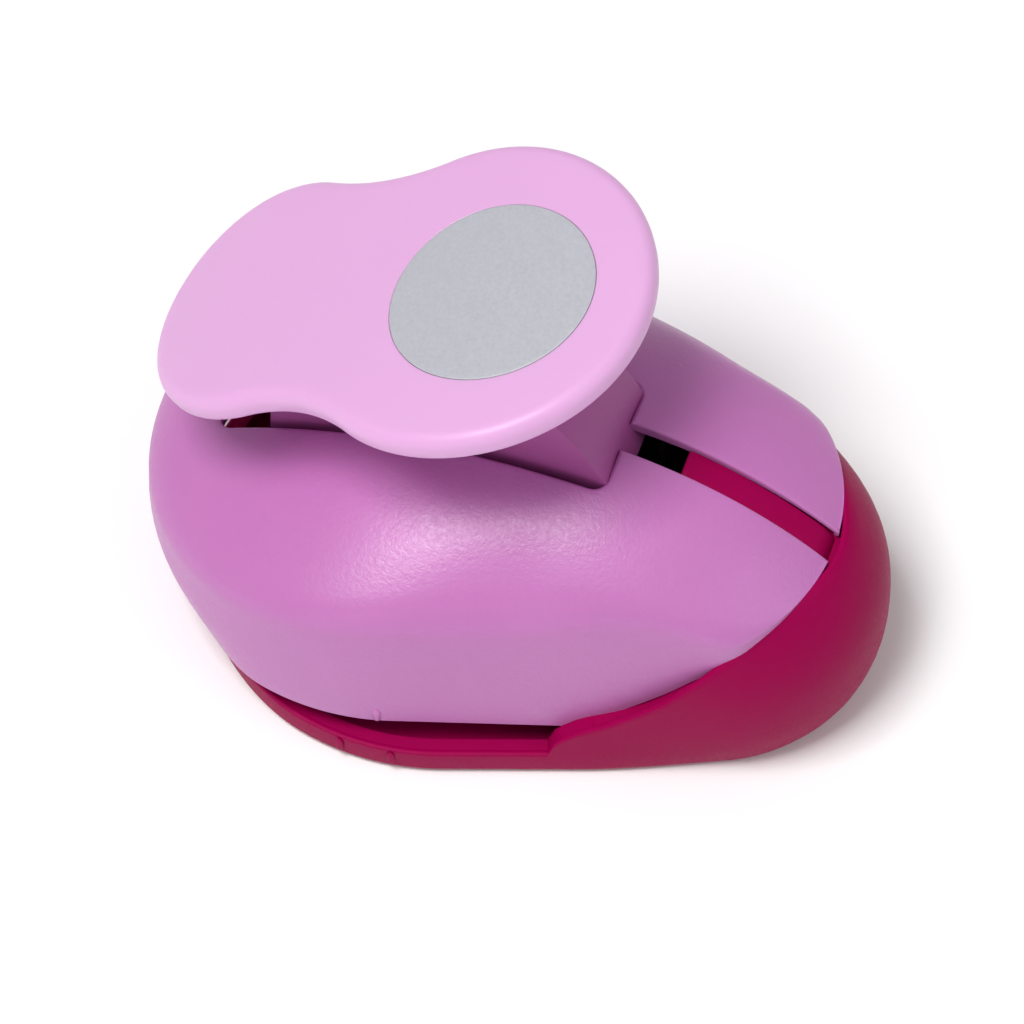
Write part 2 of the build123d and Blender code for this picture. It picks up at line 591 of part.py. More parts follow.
def make_pin_clips():
    """Retaining ring on each end of the pivot pin."""
    clips = []
    start = CHEEK_INNER + CHEEK_THICKNESS
    for side in (-1, 1):
        ring = cross_rod(PIVOT_X, PIVOT_Z, CLIP_RADIUS, CLIP_THICKNESS)
        ring -= cross_rod(PIVOT_X, PIVOT_Z, PIN_RADIUS, CLIP_THICKNESS * 2)
        clips.append(Pos(0, side * (start + CLIP_THICKNESS / 2), 0) * ring)
    return clips


def build_nodes():
    """Every separate piece by name; a list is a group of like pieces."""
    pin_length = 2 * (CHEEK_INNER + CHEEK_THICKNESS + CLIP_THICKNESS)
    return {
        "base_shell": make_base_shell(),
        "upper_shell": make_upper_shell(),
        "slot_rib": make_slot_rib(),
        "guide_frame": make_guide_frame(),
        "die_plate": make_die_plate(),
        "corner_fence": make_corner_fence(),
        "pivot_pin": cross_rod(PIVOT_X, PIVOT_Z, PIN_RADIUS, pin_length),
        "pin_clips": make_pin_clips(),
        "spring_post_left": make_spring_post(1),
        "spring_post_right": make_spring_post(-1),
        "return_spring_left": make_return_spring(1),
        "return_spring_right": make_return_spring(-1),
        "frame_screws": [screw(x, y, GUIDE_TOP + HEAD_HEIGHT, DIE_BOTTOM + 0.3) for x, y in FRAME_SCREW_SPOTS],
        "base_screws": [screw(x, y, 0, GUIDE_TOP - 0.4) for x, y in BASE_SCREW_SPOTS],
        "case_screws": [screw(x, y, 0, CASE_SCREW_TOP) for x, y in CASE_SCREW_SPOTS],
        "punch_blade": make_punch_blade(),
        "punch_holder": make_punch_holder(),
        "holder_screws": make_holder_screws(),
        "lever_stem": make_lever_stem(),
        "lever_plate": make_lever_plate(),
        "label_disc": make_label_disc(),
        "cam_pin": cross_rod(CAM_X, CAM_Z, CAM_PIN_RADIUS, STEM_WIDTH),
        "plate_screws": make_plate_screws(),
    }


os.makedirs("parts", exist_ok=True)
for name, piece in build_nodes().items():
    shape = Compound(piece) if isinstance(piece, list) else piece
    export_step(shape, f"parts/{name}.step")
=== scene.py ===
"""A lilac and magenta lever punch that rounds the corners of paper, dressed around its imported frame."""

import logging
import math
from dataclasses import dataclass, field
from enum import Enum
from typing import Callable, Optional, Sequence

import bmesh
import bpy
import numpy as np
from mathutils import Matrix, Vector

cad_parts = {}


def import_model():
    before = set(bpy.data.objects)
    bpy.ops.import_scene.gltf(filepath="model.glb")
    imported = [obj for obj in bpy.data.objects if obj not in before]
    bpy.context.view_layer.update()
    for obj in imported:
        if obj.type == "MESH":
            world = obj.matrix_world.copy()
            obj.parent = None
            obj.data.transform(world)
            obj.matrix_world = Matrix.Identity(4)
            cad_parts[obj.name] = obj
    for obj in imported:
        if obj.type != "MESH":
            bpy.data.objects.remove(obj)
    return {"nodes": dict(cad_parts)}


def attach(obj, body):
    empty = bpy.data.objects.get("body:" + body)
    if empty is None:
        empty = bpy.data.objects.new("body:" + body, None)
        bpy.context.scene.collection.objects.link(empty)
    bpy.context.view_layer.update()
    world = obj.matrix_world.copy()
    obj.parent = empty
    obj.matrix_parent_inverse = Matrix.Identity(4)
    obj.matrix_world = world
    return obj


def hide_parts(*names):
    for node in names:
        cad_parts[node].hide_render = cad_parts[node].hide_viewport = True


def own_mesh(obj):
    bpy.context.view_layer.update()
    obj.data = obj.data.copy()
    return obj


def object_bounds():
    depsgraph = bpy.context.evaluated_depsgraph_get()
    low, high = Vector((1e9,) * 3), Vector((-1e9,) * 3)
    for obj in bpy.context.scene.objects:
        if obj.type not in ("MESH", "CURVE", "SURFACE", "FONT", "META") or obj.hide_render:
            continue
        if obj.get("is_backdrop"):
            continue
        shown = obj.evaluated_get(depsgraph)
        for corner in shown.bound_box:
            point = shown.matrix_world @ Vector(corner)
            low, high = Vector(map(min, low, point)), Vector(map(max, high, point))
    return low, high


LOG = logging.getLogger("corner_rounder")
MM = 0.001
ABOVE_ALL = 60.0
Colour = tuple[float, float, float]


# ------------------------------------------------------------------ finishes
class Slot(Enum):
    """Material slots of the record that the pieces take their finish from."""

    COVER = "lilac_shell"
    BASE = "magenta_base"
    PLATE = "pink_plate"
    LABEL = "silver_label"
    CASTING = "cast_frame"
    TOOL_STEEL = "tool_steel"
    BRIGHT_STEEL = "bright_steel"
    NYLON = "holder_nylon"


class NodeTree:
    """Small helper that adds and links shader nodes of one material."""

    def __init__(self, name: str) -> None:
        """Start an empty principled material.

        Args:
            name: Name of the material.
        """
        self.material = bpy.data.materials.new(name)
        self.material.use_nodes = True
        self.tree = self.material.node_tree
        self.shader = self.tree.nodes["Principled BSDF"]
        self.where = self.tree.nodes.new("ShaderNodeTexCoord")

    def add(self, kind: str, **values: object) -> bpy.types.Node:
        """Add a node.

        Args:
            kind: Node type without the ShaderNode prefix.
            **values: Attributes of the node, or defaults of its inputs by name with underscores.

        Returns:
            The new node.
        """
        node = self.tree.nodes.new("ShaderNode" + kind)
        for key, value in values.items():
            socket = node.inputs.get(key.replace("_", " "))
            if socket is not None:
                socket.default_value = value
            else:
                setattr(node, key, value)
        return node

    def link(self, source: bpy.types.NodeSocket, target: bpy.types.NodeSocket) -> None:
        """Join two sockets."""
        self.tree.links.new(source, target)

    def noise(self, scale: float, detail: float = 2.0, roughness: float = 0.5) -> bpy.types.Node:
        """Add a noise texture in object space.

        Args:
            scale: Cells per metre.
            detail: Octaves of finer noise.
            roughness: Strength of the finer octaves.

        Returns:
            The noise node.
        """
        node = self.add("TexNoise", Scale=scale, Detail=detail, Roughness=roughness)
        self.link(self.where.outputs["Object"], node.inputs["Vector"])
        return node

    def spread(self, source: bpy.types.NodeSocket, low: float, high: float) -> bpy.types.NodeSocket:
        """Map a 0.3 to 0.7 signal to a range.

        Args:
            source: Signal to map.
            low: Result for a weak signal.
            high: Result for a strong signal.

        Returns:
            The mapped signal.
        """
        node = self.add("MapRange")
        node.inputs["From Min"].default_value = 0.3
        node.inputs["From Max"].default_value = 0.7
        node.inputs["To Min"].default_value = low
        node.inputs["To Max"].default_value = high
        self.link(source, node.inputs["Value"])
        return node.outputs["Result"]

    def mix_colours(self, factor: bpy.types.NodeSocket, first: Colour, second: Colour) -> bpy.types.NodeSocket:
        """Blend two colours by a signal.

        Args:
            factor: 0 gives the first colour and 1 the second.
            first: Linear colour.
            second: Linear colour.

        Returns:
            The blended colour.
        """
        node = self.add("Mix", data_type="RGBA")
        node.inputs[6].default_value = (*first, 1.0)
        node.inputs[7].default_value = (*second, 1.0)
        self.link(factor, node.inputs[0])
        return node.outputs[2]

    def bump(self, height: bpy.types.NodeSocket, strength: float, distance: float,
             under: Optional[bpy.types.NodeSocket] = None) -> bpy.types.NodeSocket:
        """Raise the surface by a height signal.

        Args:
            height: Height signal.
            strength: Share of the full effect.
            distance: Height in metres of a full signal.
            under: Normal of a coarser bump below this one.

        Returns:
            The bumped normal.
        """
        node = self.add("Bump", Strength=strength, Distance=distance)
        self.link(height, node.inputs["Height"])
        if under is not None:
            self.link(under, node.inputs["Normal"])
        return node.outputs["Normal"]


@dataclass(frozen=True)
class MouldedPlastic:
    """Injection-moulded plastic with an eroded mould texture.

    Attributes:
        name: Material name.
        colour: Linear body colour.
        deep: Linear colour of slightly thicker or darker patches.
        roughness: Mean surface roughness.
        grain_scale: Cells per metre of the mould texture.
        grain_height: Height of the mould texture in metres.
        bleed: Share of light that scatters inside the wall.
        sheen: Strength of the pale haze at grazing angles.
        specular: Strength of the surface reflection.
    """

    name: str
    colour: Colour
    deep: Colour
    roughness: float
    grain_scale: float
    grain_height: float
    bleed: float = 0.0
    sheen: float = 0.0
    specular: float = 0.5

    def build(self) -> bpy.types.Material:
        """Make the material.

        Returns:
            The finished material.
        """
        nodes = NodeTree(self.name)
        shader = nodes.shader
        patches = nodes.noise(90.0, detail=3.0)
        grain = nodes.noise(self.grain_scale, detail=2.0, roughness=0.6)
        pits = nodes.noise(self.grain_scale * 2.7, detail=1.0)
        nodes.link(nodes.mix_colours(patches.outputs["Fac"], self.colour, self.deep), shader.inputs["Base Color"])
        rough = nodes.spread(grain.outputs["Fac"], self.roughness - 0.05, self.roughness + 0.06)
        nodes.link(rough, shader.inputs["Roughness"])
        coarse = nodes.bump(grain.outputs["Fac"], 0.55, self.grain_height)
        fine = nodes.bump(pits.outputs["Fac"], 0.35, self.grain_height * 0.6, coarse)
        nodes.link(fine, shader.inputs["Normal"])
        shader.inputs["Subsurface Weight"].default_value = self.bleed
        shader.inputs["Subsurface Radius"].default_value = (0.004, 0.0022, 0.0035)
        shader.inputs["Subsurface Scale"].default_value = 0.6
        shader.inputs["Specular IOR Level"].default_value = self.specular
        shader.inputs["Sheen Weight"].default_value = self.sheen
        shader.inputs["Sheen Roughness"].default_value = 0.4
        shader.inputs["IOR"].default_value = 1.5
        return nodes.material


@dataclass(frozen=True)
class Metal:
    """Bare metal with a drawn, ground or cast surface.

    Attributes:
        name: Material name.
        colour: Linear colour.
        roughness: Mean roughness.
        stretch: Scale of the surface noise along X, Y and Z, for drawn or ground lines.
        height: Height of the surface noise in metres.
    """

    name: str
    colour: Colour
    roughness: float
    stretch: tuple[float, float, float]
    height: float

    def build(self) -> bpy.types.Material:
        """Make the material.

        Returns:
            The finished material.
        """
        nodes = NodeTree(self.name)
        shader = nodes.shader
        placed = nodes.add("Mapping")
        placed.inputs["Scale"].default_value = self.stretch
        nodes.link(nodes.where.outputs["Object"], placed.inputs["Vector"])
        lines = nodes.add("TexNoise", Scale=1000.0, Detail=3.0)
        nodes.link(placed.outputs["Vector"], lines.inputs["Vector"])
        darker = tuple(0.8 * channel for channel in self.colour)
        nodes.link(nodes.mix_colours(lines.outputs["Fac"], darker, self.colour), shader.inputs["Base Color"])
        rough = nodes.spread(lines.outputs["Fac"], self.roughness - 0.08, self.roughness + 0.1)
        nodes.link(rough, shader.inputs["Roughness"])
        nodes.link(nodes.bump(lines.outputs["Fac"], 0.4, self.height), shader.inputs["Normal"])
        shader.inputs["Metallic"].default_value = 1.0
        return nodes.material


@dataclass(frozen=True)
class PrintedFoil:
    """Matt silver foil label with a fine sparkle.

    Attributes:
        name: Material name.
        colour: Linear colour of the foil.
        fleck: Linear colour of the darker flecks.
        grain_scale: Flecks per metre.
    """

    name: str
    colour: Colour
    fleck: Colour
    grain_scale: float

    def build(self) -> bpy.types.Material:
        """Make the material.

        Returns:
            The finished material.
        """
        nodes = NodeTree(self.name)
        shader = nodes.shader
        grain = nodes.noise(self.grain_scale, detail=2.0, roughness=0.7)
        wide = nodes.noise(self.grain_scale / 9.0, detail=2.0)
        mixed = nodes.add("Math", operation="MULTIPLY")
        nodes.link(nodes.spread(grain.outputs["Fac"], 0.45, 1.0), mixed.inputs[0])
        nodes.link(nodes.spread(wide.outputs["Fac"], 0.9, 1.0), mixed.inputs[1])
        nodes.link(nodes.mix_colours(mixed.outputs[0], self.fleck, self.colour), shader.inputs["Base Color"])
        nodes.link(nodes.spread(grain.outputs["Fac"], 0.42, 0.6), shader.inputs["Roughness"])
        nodes.link(nodes.bump(grain.outputs["Fac"], 0.3, 0.00002), shader.inputs["Normal"])
        shader.inputs["Metallic"].default_value = 0.15
        return nodes.material


class Workshop:
    """Makes each finish once and hands it out by slot."""

    RECIPES = {
        Slot.COVER: MouldedPlastic("lilac_spark", (0.535, 0.18, 0.475), (0.50, 0.165, 0.445),
                                   0.35, 2300.0, 0.00006, bleed=0.05, specular=0.5),
        Slot.BASE: MouldedPlastic("magenta_gloss", (0.33, 0.0, 0.07), (0.30, 0.0, 0.062),
                                  0.45, 2600.0, 0.000004, specular=0.05),
        Slot.PLATE: MouldedPlastic("pink_satin", (0.74, 0.40, 0.70), (0.72, 0.385, 0.685),
                                   0.42, 2400.0, 0.000010, bleed=0.18, sheen=0.05),
        Slot.LABEL: PrintedFoil("silver_foil", (0.51, 0.51, 0.56), (0.42, 0.42, 0.465), 2600.0),
        Slot.CASTING: Metal("cast_zinc", (0.20, 0.20, 0.21), 0.50, (1.0, 1.0, 1.0), 0.00004),
        Slot.TOOL_STEEL: Metal("ground_steel", (0.55, 0.55, 0.57), 0.28, (0.05, 1.6, 1.6), 0.00001),
        Slot.BRIGHT_STEEL: Metal("plated_steel", (0.66, 0.66, 0.68), 0.22, (1.0, 1.0, 0.1), 0.000006),
        Slot.NYLON: MouldedPlastic("black_nylon", (0.028, 0.028, 0.032), (0.02, 0.02, 0.024),
                                   0.48, 2200.0, 0.00002, bleed=0.0),
    }

    def __init__(self) -> None:
        """Build every finish."""
        self.materials = {slot: recipe.build() for slot, recipe in self.RECIPES.items()}
        # The stem's lilac is the cover's plastic darkened: painted shade for the shadow it sits in under the plate.
        self.stem_painted_shade = MouldedPlastic("lilac_stem_painted_shade", (0.40, 0.09, 0.31), (0.37, 0.08, 0.285), 0.38, 2300.0,
                                          0.00003, specular=0.4).build()

    def dress(self, piece: bpy.types.Object, slot: Slot, finish: Optional[bpy.types.Material] = None) -> None:
        """Give a piece its finish.

        Args:
            piece: Mesh object.
            slot: Record slot of the finish.
            finish: Variant of the slot's finish for this piece, such as the stem's lilac darkened as painted shade.
        """
        piece.data.materials.clear()
        piece.data.materials.append(finish or self.materials[slot])
        for polygon in piece.data.polygons:
            polygon.material_index = 0


# ------------------------------------------------------------------ mesh work
def smooth_step(value: np.ndarray) -> np.ndarray:
    """Ease a 0 to 1 ramp at both ends, clamped outside it."""
    held = np.clip(value, 0.0, 1.0)
    return held * held * (3.0 - 2.0 * held)


def smooth_curve(knots: Sequence[tuple[float, float]]) -> Callable[[np.ndarray], np.ndarray]:
    """Make a smooth function through given knots, level at both ends.

    Args:
        knots: Pairs of position and value, in order of position.

    Returns:
        A function of position.
    """
    xs = np.array([knot[0] for knot in knots])
    ys = np.array([knot[1] for knot in knots])
    slopes = np.zeros_like(ys)
    steps = np.diff(ys) / np.diff(xs)
    slopes[1:-1] = np.where(steps[1:] * steps[:-1] > 0, (steps[1:] + steps[:-1]) / 2, 0.0)

    def value(where: np.ndarray) -> np.ndarray:
        """Evaluate the curve."""
        where = np.clip(np.asarray(where, float), xs[0], xs[-1])
        index = np.clip(np.searchsorted(xs, where) - 1, 0, len(xs) - 2)
        span = xs[index + 1] - xs[index]
        t = (where - xs[index]) / span
        rise = ys[index] * (1 + 2 * t) * (1 - t) ** 2 + ys[index + 1] * t * t * (3 - 2 * t)
        return rise + span * t * (1 - t) * (slopes[index] * (1 - t) - slopes[index + 1] * t)

    return value


def rings_to_piece(name: str, rings: Sequence[np.ndarray], ladder_caps: bool = False) -> bpy.types.Object:
    """Skin a stack of closed rings of equal length, in millimetres.

    Args:
        name: Name of the piece.
        rings: Arrays of points, one per ring.
        ladder_caps: Close the ends with rungs between mirrored points instead of fans.

    Returns:
        The smooth-shaded mesh object.
    """
    count = len(rings[0])
    points = [np.asarray(ring, float) for ring in rings]
    faces = []
    for row in range(len(points) - 1):
        low, high = row * count, (row + 1) * count
        for column in range(count):
            following = (column + 1) % count
            faces.append((low + column, low + following, high + following, high + column))
    last = (len(points) - 1) * count
    for start, ring in ((0, points[0]), (last, points[-1])):
        if ladder_caps:
            faces.append((start, start + 1, start + count - 1))
            faces += [(start + rung, start + rung + 1, start + count - rung - 1, start + count - rung)
                      for rung in range(1, count // 2 - 1)]
            faces.append((start + count // 2 - 1, start + count // 2, start + count // 2 + 1))
        else:
            points.append(ring.mean(axis=0)[None, :])
            hub = sum(len(part) for part in points) - 1
            faces += [(start + column, start + (column + 1) % count, hub) for column in range(count)]
    return mesh_piece(name, np.concatenate(points) * MM, faces)


def mesh_piece(name: str, vertices: np.ndarray, faces: Sequence[Sequence[int]]) -> bpy.types.Object:
    """Make a smooth-shaded object from vertices in metres.

    Args:
        name: Name of the piece.
        vertices: Points in metres.
        faces: Vertex indices of each face.

    Returns:
        The mesh object, linked to the scene.
    """
    mesh = bpy.data.meshes.new(name)
    mesh.from_pydata([tuple(vertex) for vertex in vertices], [], [tuple(face) for face in faces])
    piece = bpy.data.objects.new(name, mesh)
    bpy.context.scene.collection.objects.link(piece)
    tidy = bmesh.new()
    tidy.from_mesh(mesh)
    bmesh.ops.recalc_face_normals(tidy, faces=tidy.faces)
    tidy.to_mesh(mesh)
    tidy.free()
    mesh.polygons.foreach_set("use_smooth", [True] * len(mesh.polygons))
    return piece


def apply_modifiers(piece: bpy.types.Object) -> None:
    """Turn the piece's modifiers into plain mesh."""
    bpy.context.view_layer.update()
    graph = bpy.context.evaluated_depsgraph_get()
    final = bpy.data.meshes.new_from_object(piece.evaluated_get(graph))
    piece.modifiers.clear()
    piece.data = final


def carve(piece: bpy.types.Object, cutter: bpy.types.Object, operation: str = "DIFFERENCE") -> None:
    """Cut a piece with a cutter, or join them, and remove the cutter.

    Args:
        piece: Object that keeps the result.
        cutter: Closed object that is used up.
        operation: DIFFERENCE, UNION or INTERSECT.
    """
    modifier = piece.modifiers.new("carve", "BOOLEAN")
    modifier.operation = operation
    modifier.solver = "EXACT"
    modifier.object = cutter
    apply_modifiers(piece)
    bpy.data.objects.remove(cutter)


def set_shading(piece: bpy.types.Object, sharp_degrees: float) -> None:
    """Shade smooth, with edges above an angle kept sharp.

    Args:
        piece: Mesh object.
        sharp_degrees: Smallest angle of a sharp edge.
    """
    mesh = piece.data
    mesh.polygons.foreach_set("use_smooth", [True] * len(mesh.polygons))
    mesh.set_sharp_from_angle(angle=math.radians(sharp_degrees))


def box_cutter(low: Sequence[float], high: Sequence[float]) -> bpy.types.Object:
    """Axis-aligned cutting block.

    Args:
        low: Lowest corner in millimetres.
        high: Highest corner in millimetres.

    Returns:
        The block, to be used by carve.
    """
    ring = [(low[0], low[1]), (high[0], low[1]), (high[0], high[1]), (low[0], high[1])]
    return rings_to_piece("cutter", [np.array([(x, y, z) for x, y in ring]) for z in (low[2], high[2])])


# ------------------------------------------------------------------ shared form
@dataclass(frozen=True)
class EggOutline:
    """Plan outline of tangent arcs: round blunt end, straight sides, pointed tip.

    Attributes:
        blunt_x: X of the blunt end in millimetres.
        tip_end_x: X of the tip.
        blunt_radius: Radius of the round end.
        corner_y: Y of the centre of the arc beside the tip.
        corner_radius: Radius of the arc beside the tip.
        tip_radius: Radius across the tip.
    """

    blunt_x: float
    tip_end_x: float
    blunt_radius: float
    corner_y: float
    corner_radius: float
    tip_radius: float

    def sample(self, step: float = 0.75) -> tuple[np.ndarray, np.ndarray]:
        """Walk round the outline, anticlockwise from the tip.

        Args:
            step: Greatest spacing of the points in millimetres.

        Returns:
            Points and outward normals, both as rows of X and Y.
        """
        centre_x = self.blunt_x + self.blunt_radius
        reach = math.sqrt((self.tip_radius - self.corner_radius) ** 2 - self.corner_y ** 2)
        tip_x = self.tip_end_x - self.tip_radius
        corner_x = tip_x + reach
        across = math.atan2(self.corner_y, corner_x - centre_x)
        apart = math.hypot(corner_x - centre_x, self.corner_y)
        lean = across + math.acos((self.blunt_radius - self.corner_radius) / apart)
        turn = math.atan2(self.corner_y, reach)
        angles, centres, radii = [], [], []

        def arc(start: float, end: float, centre: tuple[float, float], radius: float) -> None:
            """Add the points of an arc without its last one."""
            count = max(4, math.ceil(radius * (end - start) / step))
            for share in np.arange(count) / count:
                angles.append(start + (end - start) * share)
                centres.append(centre)
                radii.append(radius)

        arc(0.0, turn, (tip_x, 0.0), self.tip_radius)
        arc(turn, lean, (corner_x, self.corner_y), self.corner_radius)
        small = np.array((corner_x + self.corner_radius * math.cos(lean),
                          self.corner_y + self.corner_radius * math.sin(lean)))
        big = np.array((centre_x, 0.0)) + self.blunt_radius * np.array((math.cos(lean), math.sin(lean)))
        count = math.ceil(np.linalg.norm(big - small) / step)
        for share in np.arange(count) / count:
            angles.append(lean)
            centres.append(tuple(small + (big - small) * share))
            radii.append(0.0)
        arc(lean, math.pi, (centre_x, 0.0), self.blunt_radius)
        normals = np.stack([np.cos(angles), np.sin(angles)], axis=1)
        points = np.array(centres) + normals * np.array(radii)[:, None]
        end = np.array([[self.blunt_x, 0.0]])
        flip = np.array([1.0, -1.0])
        points = np.concatenate([points, end, (points[1:] * flip)[::-1]])
        normals = np.concatenate([normals, [[-1.0, 0.0]], (normals[1:] * flip)[::-1]])
        return points, normals


@dataclass(frozen=True)
class HousingForm:
    """Curves that the cover, the base and the rib share, in millimetres.

    Attributes:
        base: Outline of the base.
        cover: Outline of the cover.
        crown_top: Height of the highest point of the crown.
        slot_top: Height of the cover's edge over the paper slot.
        slot_end: X where the paper slot ends at each side.
        base_rim: Height of the base's rim beside the paper slot.
        opening: Blunt X, tip X and half width of the lever opening.
        slit_half: Half width of the slit to the tip.
    """

    base: EggOutline = EggOutline(-33.9, 37.5, 25.8, 6.0, 9.5, 16.0)
    cover: EggOutline = EggOutline(-37.4, 31.7, 24.8, 8.5, 6.0, 19.0)
    crown_top: float = 32.25
    slot_top: float = 6.5
    slot_end: float = 10.6
    base_rim: float = 4.0
    opening: tuple[float, float, float] = (-29.0, 10.4, 6.1)
    slit_half: float = 1.55

    def crown(self, x: np.ndarray, y: np.ndarray) -> np.ndarray:
        """Height of the crown.

        Args:
            x: Positions along the body.
            y: Positions across it.

        Returns:
            Heights.
        """
        x, y = np.asarray(x, float), np.asarray(y, float)
        bend = np.where(x < 7.0, 66.0, 38.0)
        top = self.crown_top - bend + np.sqrt(np.maximum(bend ** 2 - (x - 7.0) ** 2, 1.0))
        roll = 26.0 + 22.0 * smooth_step((8.0 - x) / 24.0)
        side = np.minimum(np.abs(y), roll * 0.985)
        return top - roll + np.sqrt(roll ** 2 - side ** 2)

    def seam(self, x: np.ndarray) -> np.ndarray:
        """Height of the joint line between cover and base towards the tip."""
        line = smooth_curve([(10.6, 6.5), (13.0, 8.3), (15.5, 9.9), (18.2, 12.1), (20.5, 14.2), (22.6, 16.6),
                             (24.8, 19.0), (27.0, 21.1), (29.5, 22.6), (31.0, 23.1), (37.5, 23.4)])
        return line(x)

    def cover_edge(self, x: np.ndarray) -> np.ndarray:
        """Height of the cover's lower edge, which dips into the base's groove beyond the slot."""
        x = np.asarray(x, float)
        joined = self.seam(x) - 0.55
        step = smooth_step((x - self.slot_end) / 0.5)
        return self.slot_top + (joined - self.slot_top) * step

    def base_edge(self, x: np.ndarray) -> np.ndarray:
        """Height of the base's outer edge."""
        x = np.asarray(x, float)
        step = smooth_step((x - self.slot_end + 0.1) / 0.5)
        return self.base_rim + (self.seam(x) - self.base_rim) * step

    def cover_inset(self, x: np.ndarray, z: np.ndarray) -> np.ndarray:
        """How far the cover's wall stands inside its outline.

        Args:
            x: Positions of the outline points.
            z: Heights on the wall.

        Returns:
            Insets in millimetres, for the undercut blunt end and the draft higher up.
        """
        under = 3.4 * (np.maximum(12.5 - z, 0.0) / 6.0) ** 2 * smooth_step((-18.0 - x) / 18.0)
        draft = 1.25 * (np.maximum(z - 8.0, 0.0) / 18.0) ** 1.5 * (1.0 - 0.9 * smooth_step((x - 17.0) / 10.0))
        return under + draft

    def base_inset(self, x: np.ndarray, z: np.ndarray) -> np.ndarray:
        """How far the base's wall stands inside its outline, most at the tip."""
        share = smooth_step((x - 13.0) / 23.0)
        low = 1.9 * (np.maximum(9.0 - z, 0.0) / 9.0) ** 2
        high = 4.3 * (np.maximum(z - 9.0, 0.0) / 13.8) ** 2.6
        blunt = 0.6 * smooth_step((-14.0 - x) / 14.0)
        return 0.2 + share * (low + high) + blunt + 0.25 * (np.maximum(4.0 - z, 0.0) / 4.0) ** 2


FORM = HousingForm()


def as_ring(points: np.ndarray, heights: np.ndarray) -> np.ndarray:
    """Join plan points and heights into a ring of 3-D points."""
    return np.concatenate([points, np.broadcast_to(heights, len(points))[:, None]], axis=1)


def rounded_rectangle(low: Sequence[float], high: Sequence[float], radius: float, step: float = 0.5,
                      arc_points: int = 8) -> tuple[np.ndarray, np.ndarray]:
    """Outline of a rectangle with round corners.

    Args:
        low: Lowest X and Y.
        high: Highest X and Y.
        radius: Corner radius.
        step: Spacing of the points along the sides.
        arc_points: Points on each corner.

    Returns:
        Points and outward normals.
    """
    corners = [(high[0] - radius, high[1] - radius, 0.0), (low[0] + radius, high[1] - radius, 90.0),
               (low[0] + radius, low[1] + radius, 180.0), (high[0] - radius, low[1] + radius, 270.0)]
    points, normals = [], []
    for x, y, start in corners:
        for share in range(arc_points):
            angle = math.radians(start + 90.0 * share / (arc_points - 1))
            normals.append((math.cos(angle), math.sin(angle)))
            points.append((x + radius * math.cos(angle), y + radius * math.sin(angle)))
    dense_points, dense_normals = [], []
    for index, point in enumerate(points):
        following = points[(index + 1) % len(points)]
        gap = math.dist(point, following)
        count = max(1, math.ceil(gap / step))
        for share in range(count):
            mix = share / count
            dense_points.append([a + (b - a) * mix for a, b in zip(point, following)])
            dense_normals.append(normals[index])
    return np.array(dense_points), np.array(dense_normals)


def flared_cutter(form: HousingForm, low: Sequence[float], high: Sequence[float], corner: float, flare: float,
                  bottom: float) -> bpy.types.Object:
    """Cutter for a hole in the crown whose rim is rolled over.

    Args:
        form: Shared curves.
        low: Lowest X and Y of the hole.
        high: Highest X and Y of the hole.
        corner: Corner radius in plan.
        flare: Radius of the rolled rim.
        bottom: Height of the cutter's foot.

    Returns:
        The cutter.
    """
    points, normals = rounded_rectangle(low, high, corner)
    rings = [as_ring(points, np.array(bottom))]
    for angle in np.linspace(0.0, 90.0, 8):
        bend = math.radians(angle)
        spread = points + normals * flare * (1.0 - math.cos(bend))
        depth = flare * (1.0 - math.sin(bend)) - 0.02
        rings.append(as_ring(spread, form.crown(spread[:, 0], spread[:, 1]) - depth))
    wide = points + normals * flare * 1.05
    rings.append(as_ring(wide, np.array(ABOVE_ALL)))
    return rings_to_piece("cutter", rings)


def edge_mark(name: str, outline: EggOutline, x: float, side: int, foot: float, proud: float, slot: Slot,
              workshop: "Workshop") -> bpy.types.Object:
    """Small moulded rib on a wall that shows where the cut starts.

    Args:
        name: Name of the rib.
        outline: Outline of the wall.
        x: Place along the body in millimetres.
        side: -1 for the near side, 1 for the far side.
        foot: Height of its foot.
        proud: How far it stands out.
        slot: Finish.
        workshop: Source of the finishes.

    Returns:
        The rib.
    """
    points, normals = outline.sample(0.25)
    place_index = np.argmin(np.abs(points[:, 0] - x) + 100.0 * (points[:, 1] * side < 0))
    place, out = points[place_index], normals[place_index]
    along = np.array([-out[1], out[0]])
    rings = []
    for rise, share in ((0.0, 0.3), (0.12, 0.75), (0.35, 1.0), (1.5, 1.0), (2.0, 0.75), (2.25, 0.3)):
        turned = [place + share * (out * proud * math.cos(a) + along * 0.42 * math.sin(a)) - out * 0.1
                  for a in np.linspace(0.0, 2.0 * math.pi, 17)[:-1]]
        rings.append(as_ring(np.array(turned), np.array(foot + rise)))
    mark = rings_to_piece(f"{name}_{'near' if side < 0 else 'far'}", rings)
    workshop.dress(mark, slot)
    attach(mark, "housing")
    return mark


